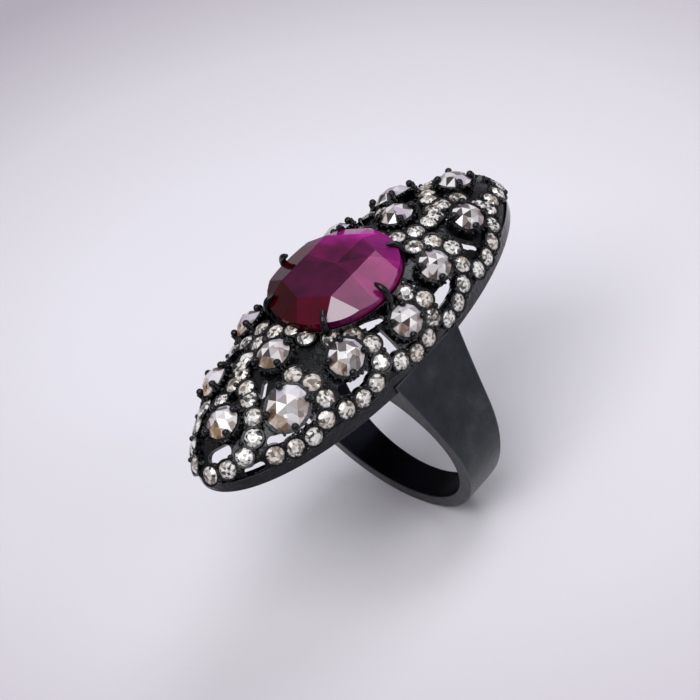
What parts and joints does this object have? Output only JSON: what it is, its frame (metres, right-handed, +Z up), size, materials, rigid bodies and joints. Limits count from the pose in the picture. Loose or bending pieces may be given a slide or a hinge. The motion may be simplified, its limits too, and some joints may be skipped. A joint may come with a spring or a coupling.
{
  "type": "cocktail ring",
  "caption": "Finger ring with a long domed oval head of pierced scrolls set with small brilliants, claw-set rose-cut side stones, a large faceted centre stone and a tapering dark band.",
  "frame": {"origin": "centre of the finger hole", "axes": "+Z up through the centre stone, +Y along the finger and the long way of the head, +X across the finger to the right"},
  "size_m": [0.0196, 0.0384, 0.0268],
  "materials": {
    "band_metal": "blackened silver, satin with fine file marks",
    "head_metal": "blackened silver, semi-gloss",
    "centre_stone": "polished facets",
    "side_stone": "polished facets",
    "brilliant": "polished facets"
  },
  "bodies": {
    "root": {"base_rim": "head_metal", "bend_scroll_back_right": "head_metal", "bend_scroll_front_left": "head_metal", "brilliants_bend_scroll_back_right": "brilliant", "brilliants_bend_scroll_front_left": "brilliant", "brilliants_edge_scroll_back_right": "brilliant", "brilliants_edge_scroll_front_left": "brilliant", "brilliants_inner_scroll_back": "brilliant", "brilliants_inner_scroll_front": "brilliant", "brilliants_middle_scroll_back_left": "brilliant", "brilliants_middle_scroll_back_right": "brilliant", "brilliants_middle_scroll_front_left": "brilliant", "brilliants_middle_scroll_front_right": "brilliant", "brilliants_outer_scroll_back_left": "brilliant", "brilliants_outer_scroll_front_right": "brilliant", "brilliants_side_scroll_left": "brilliant", "brilliants_side_scroll_right": "brilliant", "brilliants_tip_scroll_back": "brilliant", "brilliants_tip_scroll_front": "brilliant", "brilliants_tip_side_scroll_back": "brilliant", "brilliants_tip_side_scroll_front": "brilliant", "collets_inner": "head_metal", "collets_middle_back_right": "head_metal", "collets_middle_front_right": "head_metal", "collets_outer_back_right": "head_metal", "collets_outer_front_right": "head_metal", "collets_side": "head_metal", "collets_tip": "head_metal", "edge_scroll_back_right": "head_metal", "edge_scroll_front_left": "head_metal", "inner_scroll_back": "head_metal", "inner_scroll_front": "head_metal", "middle_scroll_back_left": "head_metal", "middle_scroll_back_right": "head_metal", "middle_scroll_front_left": "head_metal", "middle_scroll_front_right": "head_metal", "outer_scroll_back_left": "head_metal", "outer_scroll_front_right": "head_metal", "pierced_plate": "head_metal", "ruby": "centre_stone", "ruby_claws": "head_metal", "ruby_collet": "head_metal", "setting_beads": "head_metal", "shank": "band_metal", "side_scroll_left": "head_metal", "side_scroll_right": "head_metal", "stones_inner": "side_stone", "stones_middle_back_right": "side_stone", "stones_middle_front_right": "side_stone", "stones_outer_back_right": "side_stone", "stones_outer_front_right": "side_stone", "stones_side": "side_stone", "stones_tip": "side_stone", "tip_scroll_back": "head_metal", "tip_scroll_front": "head_metal", "tip_side_scroll_back": "head_metal", "tip_side_scroll_front": "head_metal"}
  },
  "joints": []
}
